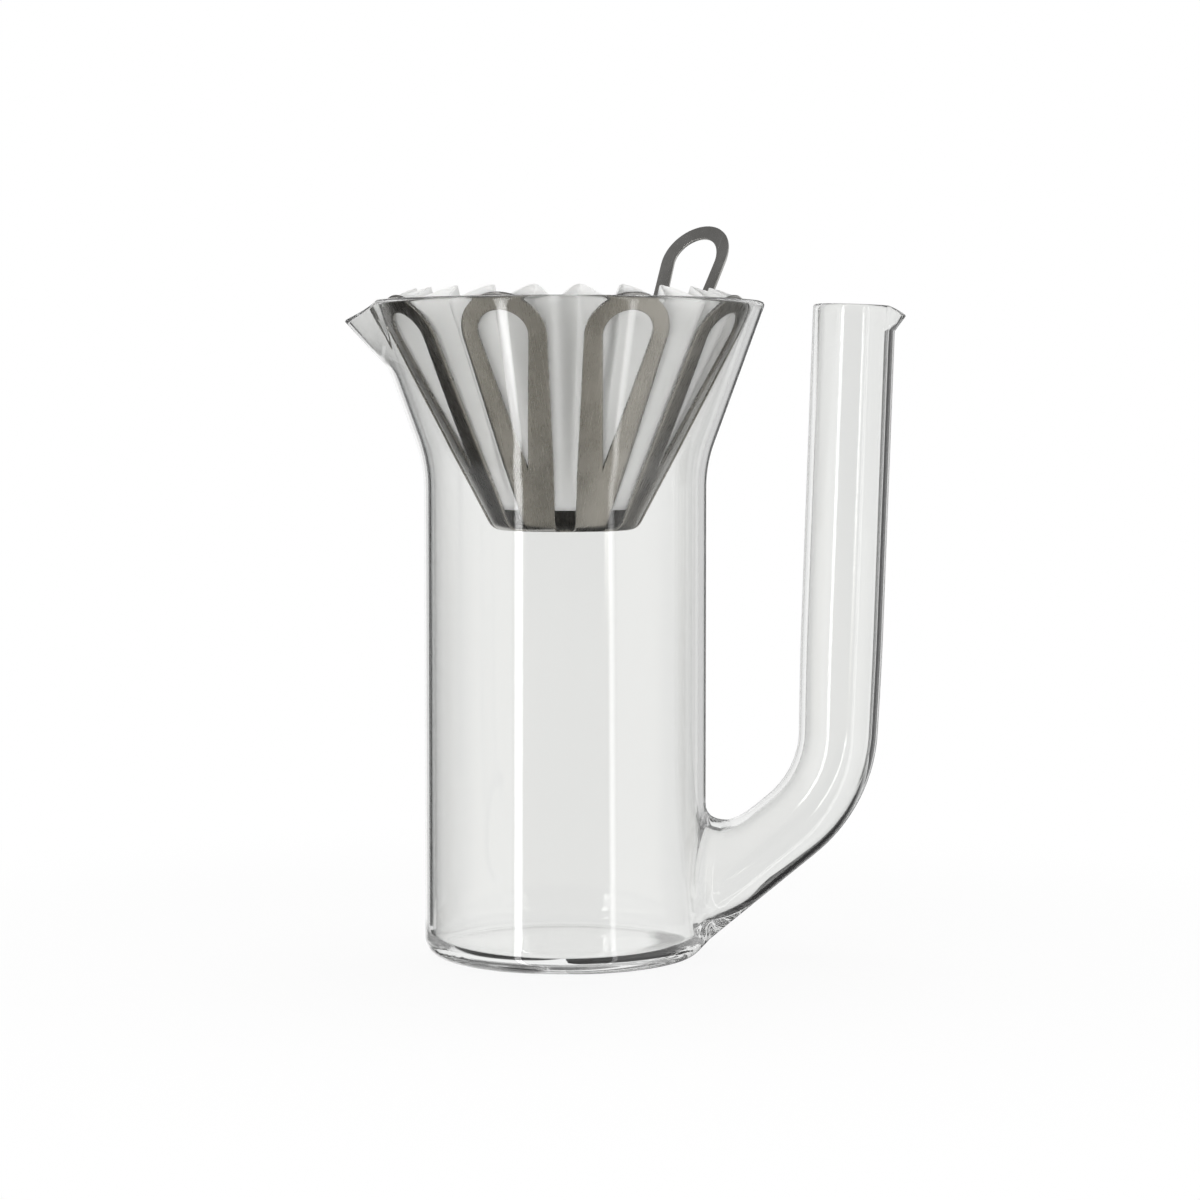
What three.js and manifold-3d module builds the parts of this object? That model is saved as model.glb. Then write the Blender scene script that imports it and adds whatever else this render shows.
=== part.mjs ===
// Glass pour-over carafe: a flared glass body, a hollow pouring handle, a folded steel dripper and a paper filter.
// Millimetres and degrees, Z up. The carafe stands on the XY plane with its axis on Z, its pouring lip towards -X
// and its handle towards +X.
import * as THREE from "three";
import { ParametricGeometry } from "three/addons/geometries/ParametricGeometry.js";
import { mergeVertices } from "three/addons/utils/BufferGeometryUtils.js";
import Module from "manifold-3d";

// Glass body
const BODY_RADIUS = 40;
const BODY_WALL = 2;
const BASE_THICKNESS = 3.2;
const BASE_CORNER = 5.5;
const INNER_CORNER = 4.5;
const RIM_HEIGHT = 185.5;
const RIM_RADIUS = 56.2;
const FLARE_ANGLE = 20;
const FLARE_BLEND = 37;

// Pouring lip of the body
const SPOUT_DEPTH = 19;
const SPOUT_PULL = 6.2;
const SPOUT_DIP = 5;
const SPOUT_SPREAD = 22;
const LIP_ROUNDING = 0.15;

// Handle tube
const TUBE_RADIUS = 11.65;
const TUBE_WALL = 1.8;
const TUBE_HEIGHT = 184.6;
const TUBE_REACH = 81.8;
const TUBE_LEAN = 1.9;
const TUBE_SLANT = 39.3;
const TUBE_BEND = 36;
const BEND_SQUEEZE = 0.9;
const WELD_HEIGHT = 17;
const WELD_FLARE = 13;
const WELD_LENGTH = 15;
const WELD_GAP = 0.3;

// Pouring lip of the handle tube
const TUBE_LIP_DEPTH = 7;
const TUBE_LIP_PULL = 3.3;
const TUBE_LIP_DIP = 2.2;
const TUBE_LIP_SPREAD = 32;

// Dripper, a sheet cup cut into petals
const SHEET = 0.8;
const PETALS = 9;
const FOLD_RADIUS = 20.5;
const BEND_RADIUS = 3.4;
const PETAL_LEAN = 27.6;
const PETAL_LENGTH = 73.4;
const PETAL_ROOT_WIDTH = 9.4;
const LOOP_RADIUS = 12;
const LOOP_BAND = 4.9;
const SLIT_START = 20;
const TAB_LENGTH = 99.7;
const TAB_BAND = 4.3;
const TAB_DIRECTION = 50.8;
const DRAIN_HOLES = 3;
const DRAIN_RADIUS = 3;
const DRAIN_CIRCLE = 9;
const SEAT_GAP = 0.45;

// Paper filter
const PAPER = 0.5;
const PLEATS = 22;
const FILTER_TURN = 5.8;
const FILTER_RADIUS = 22.1;
const FILTER_SLANT = 65;
const PLEAT_DEPTH = 9.5;
const PLEAT_SHARPNESS = 0.2;
const PAPER_GAP = 0.4;

// Facets
const ARC_STEPS = 3;
const BODY_SEGMENTS = 56;
const SPOUT_CROWDING = 0.4;
const TUBE_SEGMENTS = 24;
const BEND_STEPS = 8;
const STRAIGHT_STEPS = 2;
const LIP_STEPS = 3;
const WELD_STEPS = 11;
const LOOP_STEPS = 5;
const FOLD_STEPS = 2;
const CUP_SEGMENTS = 36;
const STEPS_PER_PLEAT = 8;

const { cos, sin, tan, acos, hypot, sqrt, max, min, abs, PI } = Math;
const radians = THREE.MathUtils.degToRad;

const wasm = await Module();
wasm.setup();

// A closed three.js geometry as a solid for booleans.
function solid(geometry) {
  const bare = geometry.clone();
  bare.deleteAttribute("normal");
  bare.deleteAttribute("uv");
  const merged = mergeVertices(bare);
  return new wasm.Manifold(
    new wasm.Mesh({
      numProp: 3,
      vertProperties: new Float32Array(merged.attributes.position.array),
      triVerts: new Uint32Array(merged.index.array),
    }),
  );
}

// A solid back as a named three.js mesh.
function part(name, body, material) {
  const { vertProperties, triVerts } = body.getMesh();
  const geometry = new THREE.BufferGeometry();
  geometry.setAttribute("position", new THREE.BufferAttribute(vertProperties, 3));
  geometry.setIndex(new THREE.BufferAttribute(triVerts, 1));
  geometry.computeVertexNormals();
  const mesh = new THREE.Mesh(geometry, material);
  mesh.name = name;
  return mesh;
}

// How far a pinched lip is pulled out, 1 at its tip and 0 past its spread: a V with a rounded point.
function pinch(angle, spread) {
  const away = min(abs(angle) / spread, 1);
  const rounded = hypot(away, LIP_ROUNDING) - LIP_ROUNDING;
  return 1 - rounded / (hypot(1, LIP_ROUNDING) - LIP_ROUNDING);
}

// A profile of (radius, height) points turned round the Z axis.
function turned(points, segments) {
  return new THREE.LatheGeometry(points, segments).rotateX(PI / 2);
}

// Lines of the glass body's wall
const flare = radians(FLARE_ANGLE);
const rimRound = BODY_WALL / 2;
const rimCentre = new THREE.Vector2(RIM_RADIUS - rimRound * cos(flare), RIM_HEIGHT - rimRound);
const flareTop = rimCentre.y - rimRound * sin(flare);
const coneHeight = (RIM_RADIUS - BODY_RADIUS - FLARE_BLEND * (1 - cos(flare))) / tan(flare);
const flareStart = flareTop - coneHeight - FLARE_BLEND * sin(flare);
const spoutRoot = RIM_HEIGHT - SPOUT_DEPTH;

// Radius of the flare's outer cone at a height.
function coneRadius(height) {
  return RIM_RADIUS + (height - flareTop) * tan(flare);
}

// Radius of the flare's inner cone at a height.
function innerConeRadius(height) {
  return coneRadius(height) - BODY_WALL / cos(flare);
}

// Outer line of the body from the middle of the base to the top of the flare, grown by a margin.
function outerLine(path, margin) {
  path.moveTo(0, -margin);
  path.lineTo(BODY_RADIUS - BASE_CORNER, -margin);
  path.absarc(BODY_RADIUS - BASE_CORNER, BASE_CORNER, BASE_CORNER + margin, -PI / 2, 0, false);
  path.absarc(BODY_RADIUS + FLARE_BLEND, flareStart, FLARE_BLEND - margin, PI, PI - flare, true);
  path.lineTo(coneRadius(spoutRoot) + margin / cos(flare), spoutRoot);
}

// Wall of the body: up the outside, over the rounded rim and down the inside to the middle of the floor.
function bodyWall() {
  const path = new THREE.Path();
  const innerRadius = BODY_RADIUS - BODY_WALL;
  outerLine(path, 0);
  path.absarc(rimCentre.x, rimCentre.y, rimRound, -flare, PI - flare, false);
  path.lineTo(innerConeRadius(spoutRoot), spoutRoot);
  path.absarc(BODY_RADIUS + FLARE_BLEND, flareStart, FLARE_BLEND + BODY_WALL, PI - flare, PI, false);
  path.absarc(
    innerRadius - INNER_CORNER,
    BASE_THICKNESS + INNER_CORNER,
    INNER_CORNER,
    0,
    -PI / 2,
    true,
  );
  path.lineTo(0, BASE_THICKNESS);
  return path.getPoints(ARC_STEPS);
}

// Pulls the wall out and down into the pouring lip, and crowds the facets towards it.
function pullSpout(geometry) {
  const position = geometry.attributes.position;
  for (let i = 0; i < position.count; i += 1) {
    const x = position.getX(i);
    const y = position.getY(i);
    const z = position.getZ(i);
    const even = Math.atan2(y, -x);
    const angle = even - SPOUT_CROWDING * sin(even);
    const share = max(0, (z - spoutRoot) / SPOUT_DEPTH);
    const pull = share * pinch(angle, radians(SPOUT_SPREAD));
    const radius = hypot(x, y) + SPOUT_PULL * pull * pinch(angle, radians(SPOUT_SPREAD));
    position.setXYZ(i, -radius * cos(angle), radius * sin(angle), z - SPOUT_DIP * pull);
  }
  return geometry;
}

// Middle line of the handle tube in the XZ plane: up the slant from inside the body, round the bend, up to the top.
function tubeLine() {
  const slant = radians(TUBE_SLANT);
  const lean = radians(TUBE_LEAN);
  const slantWay = new THREE.Vector2(cos(slant), sin(slant));
  const topWay = new THREE.Vector2(sin(lean), cos(lean));
  const weld = new THREE.Vector2(BODY_RADIUS, WELD_HEIGHT);
  const top = new THREE.Vector2(TUBE_REACH, TUBE_HEIGHT);
  const slantLength = top.clone().sub(weld).cross(topWay) / slantWay.cross(topWay);
  const turn = PI / 2 - lean - slant;
  const start = weld.clone().addScaledVector(slantWay, -TUBE_RADIUS);
  const bendStart = weld.clone().addScaledVector(slantWay, slantLength - TUBE_BEND * tan(turn / 2));
  const bendCentre = new THREE.Vector2(-slantWay.y, slantWay.x).multiplyScalar(TUBE_BEND).add(bendStart);
  const line = new THREE.Path();
  line.moveTo(start.x, start.y);
  line.lineTo(bendStart.x, bendStart.y);
  line.absarc(bendCentre.x, bendCentre.y, TUBE_BEND, slant - PI / 2, slant - PI / 2 + turn, false);
  line.lineTo(top.x, top.y);
  return line;
}

const middleLine = tubeLine();
const [slantEnd, bendEnd, tubeEnd] = middleLine.getCurveLengths();

// Even steps from one distance up to another, without the last.
function stepsBetween(from, to, count) {
  return Array.from({ length: count }, (_, i) => from + ((to - from) * i) / count);
}

// A point of a ring round the tube's middle line, with the squeezed bend, the weld's bead and the pulled lip.
function tubePoint(ring, around, target) {
  const middle = middleLine.getPoint(ring.along / tubeEnd);
  const way = middleLine.getTangent(ring.along / tubeEnd);
  const outSide = cos(around);
  const across = ring.radius * sin(around);
  const squeeze = 1 - THREE.MathUtils.smoothstep(ring.along, slantEnd, 2 * bendEnd - slantEnd);
  const half = ring.radius * (1 - (squeeze * BEND_SQUEEZE) / TUBE_RADIUS);
  const fromWall = max(0, hypot(middle.x + half * outSide * way.y, across) - BODY_RADIUS);
  const bead = max(0, 1 - fromWall / WELD_LENGTH) ** 3 * max(0, -outSide) * (ring.radius / TUBE_RADIUS);
  const lipShare = max(0, (ring.along - tubeEnd + TUBE_LIP_DEPTH) / TUBE_LIP_DEPTH);
  const pull = lipShare * pinch(around > PI ? around - 2 * PI : around, radians(TUBE_LIP_SPREAD));
  const out = half * outSide - WELD_FLARE * bead + TUBE_LIP_PULL * pull;
  const dip = TUBE_LIP_DIP * pull;
  target.set(
    middle.x + out * way.y - dip * way.x,
    across,
    middle.y - out * way.x - dip * way.y,
  );
}

// A skin through rings of the tube, first to last.
function tubeSkin(rings) {
  return new ParametricGeometry(
    (u, v, target) => tubePoint(rings[Math.round(v * (rings.length - 1))], 2 * PI * u, target),
    TUBE_SEGMENTS,
    rings.length - 1,
  );
}

// Hollow handle tube: up the outside, over the rounded edge and down the bore, its lower end cut to the body's wall.
function handleTube() {
  const edge = TUBE_WALL / 2;
  const stations = [
    ...stepsBetween(0, slantEnd, WELD_STEPS),
    ...stepsBetween(slantEnd, bendEnd, BEND_STEPS),
    ...stepsBetween(bendEnd, tubeEnd - TUBE_LIP_DEPTH, STRAIGHT_STEPS),
    ...stepsBetween(tubeEnd - TUBE_LIP_DEPTH, tubeEnd - edge, LIP_STEPS),
    tubeEnd - edge,
  ];
  const outside = stations.map((along) => ({ along, radius: TUBE_RADIUS }));
  const bore = stations.map((along) => ({ along, radius: TUBE_RADIUS - TUBE_WALL })).reverse();
  const crest = { along: tubeEnd, radius: TUBE_RADIUS - edge };
  const wall = tubeSkin([...outside, crest, ...bore, outside[0]]);
  const bodyShape = new THREE.Path();
  outerLine(bodyShape, WELD_GAP);
  bodyShape.lineTo(0, spoutRoot);
  return solid(wall).subtract(solid(turned(bodyShape.getPoints(ARC_STEPS), BODY_SEGMENTS)));
}

// Port through the body's wall: the tube's bore carried on into the body, kept above the rounded floor.
function handlePort() {
  const radius = TUBE_RADIUS - TUBE_WALL;
  const stations = [...stepsBetween(0, slantEnd, WELD_STEPS), slantEnd];
  const bore = stations.map((along) => ({ along, radius }));
  const skin = tubeSkin([{ along: 0, radius: 0 }, ...bore, { along: slantEnd, radius: 0 }]);
  const sill = BASE_THICKNESS + INNER_CORNER;
  const floor = new THREE.BoxGeometry(4 * BODY_RADIUS, 4 * BODY_RADIUS, 2 * sill);
  return solid(skin).subtract(solid(floor));
}

// Glass body with the port that opens into the handle.
function carafeBody() {
  return solid(pullSpout(turned(bodyWall(), BODY_SEGMENTS))).subtract(handlePort());
}

// Angle, seen from a circle's middle, at which a line from an outside point meets the circle on its right side.
function tangentAngle(point, middle, radius) {
  const away = point.clone().sub(middle);
  return away.angle() - 2 * PI + acos(radius / away.length());
}

// Flat outline of a petal, with the fold line at y = 0 and a tongue below it that runs into the base.
function petalOutline(length, band) {
  const middle = new THREE.Vector2(0, length - LOOP_RADIUS);
  const half = PETAL_ROOT_WIDTH / 2;
  const sideAngle = tangentAngle(new THREE.Vector2(half, 0), middle, LOOP_RADIUS);
  const outline = new THREE.Shape();
  outline.moveTo(-half, 0);
  outline.lineTo(-half, -FOLD_RADIUS);
  outline.lineTo(half, -FOLD_RADIUS);
  outline.lineTo(half, 0);
  outline.absarc(middle.x, middle.y, LOOP_RADIUS, sideAngle, PI - sideAngle, false);
  const slitRadius = LOOP_RADIUS - band;
  const slitAngle = tangentAngle(new THREE.Vector2(0, SLIT_START), middle, slitRadius);
  const slit = new THREE.Path();
  slit.moveTo(0, SLIT_START);
  slit.absarc(middle.x, middle.y, slitRadius, slitAngle, PI - slitAngle, false);
  slit.lineTo(0, SLIT_START);
  outline.holes.push(slit);
  return outline;
}

const petalLean = radians(PETAL_LEAN);
const bendStart = FOLD_RADIUS - (BEND_RADIUS + SHEET) * tan((PI / 2 - petalLean) / 2);

// Height of the dripper's base: it sinks into the mouth until its petals meet the rounded rim.
const dripperHeight =
  rimCentre.y -
  ((rimCentre.x - FOLD_RADIUS) * cos(petalLean) - rimRound - SEAT_GAP) / sin(petalLean);

// Cup of one sheet before it is cut: flat base, bend and cone, long enough for the longest petal.
function sheetCup() {
  const bendHeight = BEND_RADIUS + SHEET;
  const tip = new THREE.Vector2(FOLD_RADIUS + TAB_LENGTH * sin(petalLean), TAB_LENGTH * cos(petalLean));
  const sheet = new THREE.Path();
  sheet.moveTo(0, 0);
  sheet.lineTo(bendStart, 0);
  sheet.absarc(bendStart, bendHeight, bendHeight, -PI / 2, -petalLean, false);
  sheet.lineTo(tip.x, tip.y);
  sheet.lineTo(tip.x - SHEET * cos(petalLean), tip.y + SHEET * sin(petalLean));
  sheet.absarc(bendStart, bendHeight, BEND_RADIUS, -petalLean, -PI / 2, true);
  sheet.lineTo(0, SHEET);
  return solid(turned(sheet.getPoints(FOLD_STEPS), CUP_SEGMENTS));
}

// Block through the cup along +X that leaves one petal standing.
function petalBlock(length, band) {
  const block = new THREE.ExtrudeGeometry(petalOutline(length, band), {
    depth: FOLD_RADIUS,
    bevelEnabled: false,
    curveSegments: LOOP_STEPS,
  });
  const across = new THREE.Vector3(0, 1, 0);
  const up = new THREE.Vector3(sin(petalLean), 0, cos(petalLean));
  const outward = new THREE.Vector3(cos(petalLean), 0, -sin(petalLean));
  block.translate(0, 0, SHEET - FOLD_RADIUS);
  block.applyMatrix4(new THREE.Matrix4().makeBasis(across, up, outward));
  block.translate(FOLD_RADIUS, 0, 0);
  return solid(block);
}

// Dripper: a base disc with drain holes, and petals round it, one of them the longer lift tab.
function dripper() {
  const disc = new THREE.CylinderGeometry(bendStart, bendStart, 4 * SHEET, CUP_SEGMENTS);
  let kept = solid(disc.rotateX(PI / 2));
  for (let i = 0; i < PETALS; i += 1) {
    const block = i === 0 ? petalBlock(TAB_LENGTH, TAB_BAND) : petalBlock(PETAL_LENGTH, LOOP_BAND);
    kept = kept.add(block.rotate([0, 0, TAB_DIRECTION + (360 * i) / PETALS]));
  }
  for (let i = 0; i < DRAIN_HOLES; i += 1) {
    const turn = radians(TAB_DIRECTION) + (2 * PI * (i + 0.5)) / DRAIN_HOLES;
    const hole = new THREE.CylinderGeometry(DRAIN_RADIUS, DRAIN_RADIUS, 8 * SHEET, TUBE_SEGMENTS);
    hole.rotateX(PI / 2).translate(DRAIN_CIRCLE * cos(turn), DRAIN_CIRCLE * sin(turn), 0);
    kept = kept.subtract(solid(hole));
  }
  return sheetCup().intersect(kept).translate([0, 0, dripperHeight]);
}

// Wave of the pleats, 0 on an outer fold and 1 on an inner fold, between a sine and a straight zigzag.
function pleatWave(angle) {
  const swing = cos(PLEATS * angle);
  const zigzag = acos(max(-1, min(1, swing))) / PI;
  return PLEAT_SHARPNESS * zigzag + (1 - PLEAT_SHARPNESS) * (0.5 - 0.5 * swing);
}

// Middle of the paper at an angle and at a share of the height, 0 at the base fold and 1 at the top edge.
function paperPoint(angle, share) {
  const topRadius = FILTER_RADIUS + FILTER_SLANT * sin(petalLean) - PLEAT_DEPTH * pleatWave(angle);
  const height = sqrt(FILTER_SLANT ** 2 - (topRadius - FILTER_RADIUS) ** 2);
  const radius = FILTER_RADIUS + share * (topRadius - FILTER_RADIUS);
  return new THREE.Vector3(radius * cos(angle), radius * sin(angle), share * height);
}

// A point of the paper's outer or inner face, half a thickness from its middle.
function paperFace(angle, share, side) {
  const nudge = 1e-4;
  const before = paperPoint(angle - nudge, share);
  const along = paperPoint(angle + nudge, share).sub(before);
  const outward = new THREE.Vector3(along.y, -along.x, 0).setLength((side * PAPER) / 2);
  return paperPoint(angle, share).add(outward);
}

// Height of the filter's base: its base fold rests on the inner faces of the petals.
const petalInnerFold = FOLD_RADIUS - SHEET / cos(petalLean);
const filterHeight =
  dripperHeight +
  (FILTER_RADIUS + PAPER / 2 + PAPER_GAP / cos(petalLean) - petalInnerFold) / tan(petalLean);

// Fluted filter: a flat base and a pleated wall whose folds open towards the top.
function paperFilter() {
  const base = -PAPER / 2;
  const rows = [
    (angle, target) => target.set(0, 0, base),
    (angle, target) => target.copy(paperFace(angle, 0, 1)).setZ(base),
    (angle, target) => target.copy(paperFace(angle, 1, 1)),
    (angle, target) => target.copy(paperFace(angle, 1, -1)),
    (angle, target) => target.copy(paperFace(angle, 0, -1)).setZ(base + PAPER),
    (angle, target) => target.set(0, 0, base + PAPER),
  ];
  const cup = new ParametricGeometry(
    (u, v, target) => rows[Math.round(v * (rows.length - 1))](2 * PI * u, target),
    PLEATS * STEPS_PER_PLEAT,
    rows.length - 1,
  );
  return solid(cup).rotate([0, 0, FILTER_TURN]).translate([0, 0, filterHeight]);
}

const glass = { color: 0xe4e8e6, roughness: 0.03, metalness: 0, transparent: true, opacity: 0.4 };
const bodyGlass = new THREE.MeshStandardMaterial(glass);
const tubeGlass = new THREE.MeshStandardMaterial(glass);
const steel = new THREE.MeshStandardMaterial({ color: 0x8a867e, roughness: 0.32, metalness: 1 });
const paper = new THREE.MeshStandardMaterial({ color: 0xf3f2ee, roughness: 0.95, metalness: 0 });

const carafe = new THREE.Group();
carafe.add(part("carafe_body", carafeBody(), bodyGlass));
carafe.add(part("handle_tube", handleTube(), tubeGlass));
carafe.add(part("dripper", dripper(), steel));
carafe.add(part("paper_filter", paperFilter(), paper));

export default carafe;
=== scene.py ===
"""Looks of a glass pour-over carafe: fused glass body and handle, steel dripper and fluted paper filter.

Shapes are worked out in millimetres as whole numpy grids, in the model's own frame: Z up, the handle
towards +X and the pouring lip towards -X. An array of points has the axes x, y, z last.
"""

import bmesh
import bpy
import numpy as np
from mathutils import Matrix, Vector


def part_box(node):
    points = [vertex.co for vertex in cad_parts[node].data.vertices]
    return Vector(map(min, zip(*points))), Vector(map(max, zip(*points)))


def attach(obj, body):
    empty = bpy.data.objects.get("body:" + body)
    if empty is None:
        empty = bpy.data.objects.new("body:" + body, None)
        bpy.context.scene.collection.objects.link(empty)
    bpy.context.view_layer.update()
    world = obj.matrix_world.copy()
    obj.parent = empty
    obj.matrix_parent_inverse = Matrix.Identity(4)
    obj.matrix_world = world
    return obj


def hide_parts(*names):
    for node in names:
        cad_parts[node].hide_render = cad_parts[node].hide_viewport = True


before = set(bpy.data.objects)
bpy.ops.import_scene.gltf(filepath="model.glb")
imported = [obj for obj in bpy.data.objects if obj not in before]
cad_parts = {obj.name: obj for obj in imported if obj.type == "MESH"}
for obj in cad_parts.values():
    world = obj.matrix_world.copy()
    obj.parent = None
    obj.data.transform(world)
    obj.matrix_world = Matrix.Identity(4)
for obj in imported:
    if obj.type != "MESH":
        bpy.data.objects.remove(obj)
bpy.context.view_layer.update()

MM = 0.001

# Glass body
BODY_RADIUS = 40
BODY_WALL = 2
BASE_THICKNESS = 3.2
BASE_CORNER = 5.5
INNER_CORNER = 4.5
RIM_HEIGHT = 185.5
RIM_RADIUS = 56.2
FLARE_ANGLE = np.radians(20)
FLARE_BLEND = 37
SPOUT_DEPTH = 19
SPOUT_PULL = 6.2
SPOUT_DIP = 5
SPOUT_SPREAD = np.radians(22)
PINCH_ROUND = 0.15

# Glass handle
TUBE_RADIUS = 11.65
TUBE_WALL = 1.8
TUBE_HEIGHT = 184.6
TUBE_REACH = 81.8
TUBE_LEAN = np.radians(1.9)
TUBE_SLANT = np.radians(39.3)
TUBE_BEND = 36
BEND_SQUEEZE = 0.9
WELD_HEIGHT = 17
WELD_FLARE = 13
WELD_LENGTH = 15
PORT_LIFT = 3.2
LIP_DEPTH = 7
LIP_PULL = 3.3
LIP_DIP = 2.2
LIP_SPREAD = np.radians(32)
WELD_FILLET = (2.2, 7.0, 5.0)
PORT_FILLET = (1.6, 6.0, 4.0)
WELD_PLACE = np.array((46, 0, 27))

# Steel dripper
SHEET = 0.8
EDGE_BEVEL = 0.16
BEVEL_ANGLE = np.radians(60)
BEVEL_SEGMENTS = 2
PETALS = 9
FOLD_RADIUS = 20.5
FOLD_BEND = 3.4
PETAL_LEAN = np.radians(27.6)
BEND_OUTSIDE = FOLD_BEND + SHEET
BEND_START = FOLD_RADIUS - BEND_OUTSIDE * np.tan((np.pi / 2 - PETAL_LEAN) / 2)
PETAL_LENGTH = 73.4
PETAL_ROOT = 9.4
LOOP_RADIUS = 12
LOOP_BAND = 4.9
SLIT_START = 20
TAB_LENGTH = 99.7
TAB_BAND = 4.3
TAB_DIRECTION = np.radians(50.8)
DRAIN_HOLES = 3
DRAIN_RADIUS = 3
DRAIN_CIRCLE = 9
HOLE_ROOM = (4.6, 13.4)

# Paper filter
PAPER = 0.5
PLEATS = 22
FILTER_TURN = np.radians(5.8)
FILTER_RADIUS = 22.1
FILTER_SLANT = 65
PLEAT_DEPTH = 9.5
PLEAT_SHARPNESS = 0.2

# Glass looks: noise scales per metre, depths as shares of the wave height, heights in metres
GLASS_TINTS = ((0.918, 0.921, 0.914, 1), (0.926, 0.929, 0.922, 1))
GLASS_IOR = 1.47
GLASS_HAZE = 0.01
GLASS_CLOUD = (25, 25, 25)
DRAW_LINES = (60, 60, 4)
DRAW_DEPTH = 0.02
WELD_BLOBS = (160, 160, 90)
WELD_DEPTH = 0.08
WELD_REACH = (0.02, 0.008)
WAVE_HEIGHT = 0.001

# Steel looks
STEEL_TONES = ((0.43, 0.42, 0.4, 1), (0.63, 0.62, 0.6, 1))
STEEL_ROUGHNESS = 0.18
GRAIN = (4000, 160, 1)
GRAIN_SHARE = 0.25
GRAIN_ROUGHNESS = 0.12
GRAIN_STRENGTH = 0.05
GRAIN_HEIGHT = 0.00006
MOTTLE = (60, 60, 60)
MOTTLE_LIMITS = (0.3, 0.7)
MOTTLE_SHARE = 0.75
MOTTLE_ROUGHNESS = 0.08
SCRATCHES = (2600, 60, 1)
SCRATCH_SLANT = 0.5
SCRATCH_LIMITS = (0.6, 0.72)
SCRATCH_SHARE = 0.5
SCRATCH_TONE = (0.8, 0.79, 0.77, 1)

# Paper looks
PAPER_TONES = ((0.88, 0.88, 0.87, 1), (0.94, 0.94, 0.935, 1))
PAPER_ROUGHNESS = 0.85
PAPER_CLOUD = (120, 120, 120)
FIBRES = (900, 900, 900)
FIBRE_ROUGHNESS = 0.1
TOOTH_STRENGTH = 0.25
TOOTH_HEIGHT = 0.0002
GLOW_LEAST = 0.06
GLOW_MORE = 0.3
GLOW_HEIGHTS = (0.1275, 0.132)

# Camera, read off the photograph
CAMERA_PLACE = np.array((9.9, -890, 154))
CAMERA_PITCH = np.radians(3.4)
CAMERA_FOCAL_PIXELS = 3137
FRAME_PIXELS = 1200
SENSOR_WIDTH = 36

# Light of the world by its direction: an angle from the camera's side, positive to the right, and a climb,
# the sine of the height above the horizon. A pair says where something starts to fade in and where it is
# full. A strip is its angle and its slant.
LEFT_STRIP = (0.65, 0.11)
LEFT_STRIP_EDGE = (0.062, 0.045)
LEFT_STRIP_LIGHT = 6.5
RIGHT_STRIP = (0.665, 0.22)
RIGHT_STRIP_EDGE = (0.05, 0.025)
RIGHT_STRIP_LIGHT = 3
STRIP_FOOT = (-0.9, -0.75)
STRIP_TOP = (0.7, 0.5)
SIDE_FLAGS = 4
SIDE_FLAG_SHIFT = 0.5
SIDE_FLAG_EDGE = (0.4, 0.25)
SIDE_FLAG_CLIMB = (0.6, 0.35)
SIDE_FLAG_DARKNESS = 0.93
BACK_ANGLE = (1.9, 2.2)
CAMERA_SIDE_LIGHT = 0.05
WALL_LIGHT = 0.8
WALL_ANGLE = (0.7, 0.78)
WALL_END = (1.1, 2.2)
FAR_RIGHT_END = (2.7, 2.85)
LOW_CLIMB = (-0.2, -0.4)
LEFT_SHADE = (0.2, 0.6)
LEFT_SHADE_DARKNESS = 0.9
CEILING_CLIMB = (0.3, 0.45)
CEILING_LIGHT = 0.24
GRAZING_ANGLE = (2.65, 2.8)
INSIDE_ABOVE = (0.1, 0.25)
INSIDE_BELOW = (-0.5, -0.6)
BELOW_LIGHT = 0.75
AMBIENT = 0.25

# Light that the steel mirrors from behind the glass
STEEL_BACK_LIGHT = 0.01
STEEL_FRONT = (-0.2, 0.1)
STEEL_FRONT_LIGHT = 0.46
STEEL_LEFT = (0.4, 0.75)
STEEL_LEFT_LIGHT = 0.16
STEEL_RIGHT = (0.1, 0.7)
STEEL_RIGHT_LIGHT = 0.25
STEEL_OFTEN_LIGHT = 0.06
STEEL_CLIMB = (0, -0.08)
STEEP_CLIMB = (-0.55, -0.65)
STEEL_WARMTH = (1, 0.95, 0.86, 1)

# Bounces counted past these limits
ONCE = 0.5
TWICE = 1.5
THROUGH_WALLS = 3.5

# Cards and flags behind the object
PANEL_AWAY = 1000
PANEL_ENDS = (-1000, 1000)
PANEL_HEIGHTS = (-260, 800)
LEFT_BAND = (-1100, -550)
RIGHT_BAND = (92, 300)
BAND_FOOT = -205
BAND_SOFTNESS = 15
BAND_DARKNESS = 0.95
RIGHT_END_DARKNESS = 0.4
CARD_AWAY = 200
CARD_ENDS = (-145, -46)
CARD_HEIGHTS = (-80, 270)
FLAG_AWAY = 80
FLAG_ENDS = (120, 200)
FLAG_HEIGHTS = (25, 205)
LOW_FLAG_ENDS = (75, 150)
LOW_FLAG_HEIGHTS = (-90, -6)
CARD_WHITE = (1, 1, 1, 1)
FLAG_BLACK = (0.03, 0.03, 0.03, 1)

# Floor: corners and the shadow's reach in metres, the drop in millimetres
FLOOR_CORNERS = ((-1.5, -1.5), (1.5, -1.5), (1.5, 1.5), (-1.5, 1.5))
FLOOR_DROP = 0.3
FLOOR_WHITE = (0.95, 0.95, 0.95, 1)
FLOOR_SHADOW = 0.12
FLOOR_SHADOW_REACH = (0.3, 0.1)

# Lamps for matte surfaces, in metres and watts: place, aim, size and power
LAMPS = {
    "key": ((0.7, -0.9, 0.9), (0, 0, 0.12), (0.6, 0.9), 3),
    "fill": ((-0.8, -0.8, 0.6), (0, 0, 0.12), (0.6, 0.9), 5),
    "low": ((-0.1, -1.1, 0.04), (0, 0, 0.15), (0.35, 0.3), 11),
    "top": ((0, 0.2, 1.3), (0, 0, 0.12), (0.8, 0.8), 8),
}
BOUNCES = 300

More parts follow.
